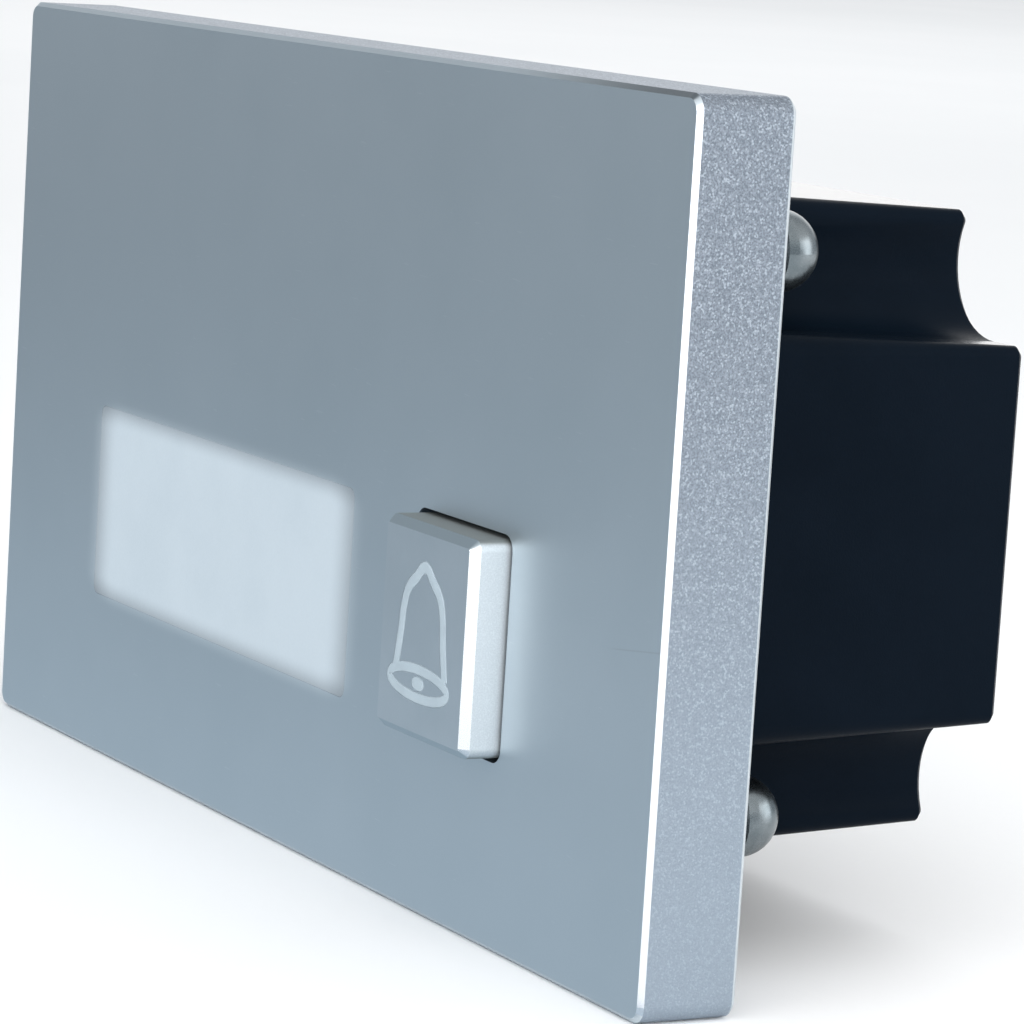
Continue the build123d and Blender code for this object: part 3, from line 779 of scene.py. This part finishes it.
# Floor, sky and lamps
studio = {
    "floorSize": 12.0,
    "floorDrop": 0.05 * mm,
    "floorPaper": plasticLook(
        colour(0.94, 0.943, 0.947), colour(0.92, 0.925, 0.93), patch=0.4, grain=2 * mm, smooth=0.85,
        coarse=0.95, specular=0.1, bump=0.02, dustAmount=0.0,
    ),
    "horizonColour": colour(0.42, 0.47, 0.52),
    "horizonTop": 0.45,
    "leftSky": colour(0.34, 0.38, 0.42),
    "rightSky": colour(1.05, 1.05, 1.05),
    "skySpan": (-0.8, 0.4),
    "backdrop": colour(1.5, 1.5, 1.5),  # bright patch of sky that the top of the box mirrors
    "backdropWay": (-0.86, 0.50, 0.10),
    "backdropSpan": (0.78, 0.95),
    "worldStrength": 1.0,
}
lamps = {
    "frontRight": {"place": (0.36, -0.46, 0.16), "aim": (0.0, 0.0, 0.0), "size": 0.6, "power": 1.3},
    "right": {"place": (0.56, -0.06, 0.14), "aim": (0.0, 0.0, 0.0), "size": 0.3, "power": 1.1},
    "above": {"place": (0.2, -0.1, 0.8), "aim": (0.0, 0.0, 0.0), "size": 0.8, "power": 1.9},
    "behindRight": {"place": (0.30, 0.55, 0.12), "aim": (0.0, 0.0, 0.0), "size": 0.3, "power": 0.8},
    "backdrop": {"place": (-1.6, 1.0, 1.2), "aim": (-1.6, 1.0, 0.0), "size": 1.6, "power": 4.0},
}


def makeFloor(look):
    height = cadLow.z - look["floorDrop"]
    bpy.ops.mesh.primitive_plane_add(size=look["floorSize"], location=(0.0, 0.0, height))
    floor = bpy.context.object
    floor.name = "studioFloor"
    floor.data.materials.append(makeSkin("floorPaper", look["floorPaper"]))


def makeSky(look):
    world = bpy.data.worlds.new("studioWorld")
    world.use_nodes = True
    tree = world.node_tree
    direction = addNode(tree, "ShaderNodeTexCoord").outputs["Generated"]
    across, _, height = split(tree, direction)
    dome = mixColour(tree, smoothStep(tree, across, *look["skySpan"]), look["leftSky"], look["rightSky"])
    lift = smoothStep(tree, height, 0.0, look["horizonTop"])
    dome = mixColour(tree, lift, look["horizonColour"], dome)
    aligned = calcVector(tree, "DOT_PRODUCT", direction, look["backdropWay"])
    behind = smoothStep(tree, aligned, *look["backdropSpan"])
    sky = tree.nodes["Background"].inputs
    feed(tree, sky["Color"], mixColour(tree, behind, dome, look["backdrop"]))
    sky["Strength"].default_value = look["worldStrength"]
    bpy.context.scene.world = world


def makeLamps(lights):
    for name, settings in lights.items():
        light = bpy.data.lights.new(name, "AREA")
        light.size = settings["size"]
        light.energy = settings["power"]
        lamp = bpy.data.objects.new(name, light)
        lamp.location = settings["place"]
        beam = Vector(settings["aim"]) - lamp.location
        lamp.rotation_euler = beam.to_track_quat("-Z", "Y").to_euler()
        bpy.context.collection.objects.link(lamp)


makeFloor(studio)
makeSky(studio)
makeLamps(lamps)
bpy.context.scene.view_settings.view_transform = "Standard"

# Grey card on the floor before the plate, which only reflections see
shadeCard = {
    "low": (-1.5, -1.5),
    "high": (0.067, -0.0088),
    "near": colour(0.51, 0.605, 0.69),
    "far": colour(0.13, 0.165, 0.19),
    "reach": 0.62,
}


def makeShadeCard(look):
    (left, front), (right, back) = look["low"], look["high"]
    height = cadLow.z
    mesh = bpy.data.meshes.new("shadeCard")
    corners = [(left, front, height), (right, front, height), (right, back, height), (left, back, height)]
    mesh.from_pydata(corners, [], [(0, 1, 2, 3)])
    material, tree, shader = newMaterial("cardGrey")
    away = calcVector(tree, "LENGTH", objectCoords(tree))
    shade = mixColour(tree, smoothStep(tree, away, 0.0, look["reach"]), look["near"], look["far"])
    feed(tree, shader.inputs["Emission Color"], shade)
    shader.inputs["Emission Strength"].default_value = 1.0
    shader.inputs["Base Color"].default_value = black
    shader.inputs["Specular IOR Level"].default_value = 0.0
    mesh.materials.append(material)
    card = bpy.data.objects.new("shadeCard", mesh)
    bpy.context.collection.objects.link(card)
    card.visible_camera = False
    card.visible_diffuse = False
    card.visible_shadow = False
    card.visible_transmission = False


makeShadeCard(shadeCard)
print("studio made")

# Camera at the photograph's viewpoint
viewpoint = {
    "place": Vector((340.73, -174.66, 49.34)) * mm,
    "aim": Vector((39.5, -8.5, 0.4)) * mm,
    "roll": math.radians(3.54),
    "lens": 155.24,
    "sensor": 36.0,
    "nearClip": 0.01,
}


def makeCamera(look):
    data = bpy.data.cameras.new("viewCamera")
    data.lens = look["lens"]
    data.sensor_width = look["sensor"]
    data.clip_start = look["nearClip"]
    camera = bpy.data.objects.new("viewCamera", data)
    level = (look["aim"] - look["place"]).to_track_quat("-Z", "Y").to_matrix().to_4x4()
    camera.matrix_world = Matrix.Translation(look["place"]) @ level @ Matrix.Rotation(look["roll"], 4, "Z")
    bpy.context.collection.objects.link(camera)
    bpy.context.scene.camera = camera


makeCamera(viewpoint)
